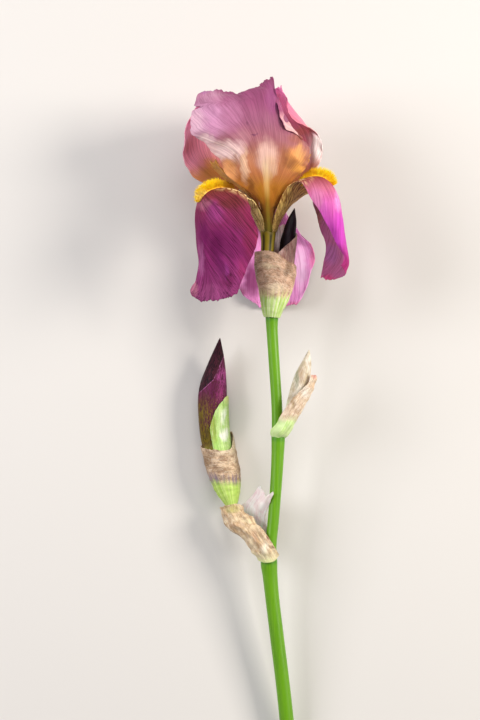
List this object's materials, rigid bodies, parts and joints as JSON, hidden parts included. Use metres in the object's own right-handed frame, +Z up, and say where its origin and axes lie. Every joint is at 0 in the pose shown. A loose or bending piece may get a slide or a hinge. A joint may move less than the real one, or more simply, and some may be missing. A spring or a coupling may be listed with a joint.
{
  "type": "bearded iris flower on a cut stalk",
  "caption": "Cut bearded iris stalk lying on a surface, with an open bloom at its end, buds in papery bracts on its sides.",
  "frame": {"origin": "middle of the laid flower's outline, on the surface that it rests on", "axes": "+Y along the stalk towards the bloom, +X to the right when looking down with the bloom at the far end, +Z up from the surface"},
  "size_m": [0.0999, 0.4246, 0.0819],
  "materials": {
    "standard_petal": "thin soft petal, matte with a faint sheen, fine radiating veins",
    "fall_petal": "thin velvety petal, dark red-violet with darker curved veins",
    "pale_fall_petal": "thin petal, pink to rose-violet, paler and smoother underneath",
    "beard": "dense soft golden-yellow hairs, matte",
    "style_arm": "thin amber-gold petal-like arm, matte",
    "anther": "cream, dusty matte",
    "green_stalk": "smooth waxy green skin with fine lengthwise lines",
    "flower_tube": "smooth ribbed olive skin",
    "bud_petal": "furled petals, dark plum with a soft bloom",
    "dark_bud": "furled petals, nearly black plum, satin",
    "papery_bract": "dry papery membrane, tan with darker wrinkles, green at its base",
    "pale_bract": "dry papery membrane, cream to straw, partly see-through",
    "green_spathe": "fresh pale green sheath, smooth and waxy"
  },
  "bodies": {
    "root": {"stalk": "green_stalk", "flower_tube": "flower_tube", "standard_front": "standard_petal", "standard_back_right": "standard_petal", "standard_back_left": "standard_petal", "fall_right": "pale_fall_petal", "fall_left": "fall_petal", "fall_back": "pale_fall_petal", "beard_left": "beard", "beard_right": "beard", "beard_back": "beard", "style_arm_left": "style_arm", "style_arm_right": "style_arm", "style_arm_back": "style_arm", "stamen_left": "anther", "stamen_right": "anther", "stamen_back": "anther", "second_bud": "dark_bud", "spathe_outer": "papery_bract", "spathe_inner": "papery_bract", "left_bract": "pale_bract", "left_lobed_bract": "pale_bract", "left_spathe_outer": "papery_bract", "left_spathe_inner": "green_spathe", "left_bud": "bud_petal", "right_bract": "pale_bract", "right_bud": "pale_bract"}
  },
  "joints": []
}
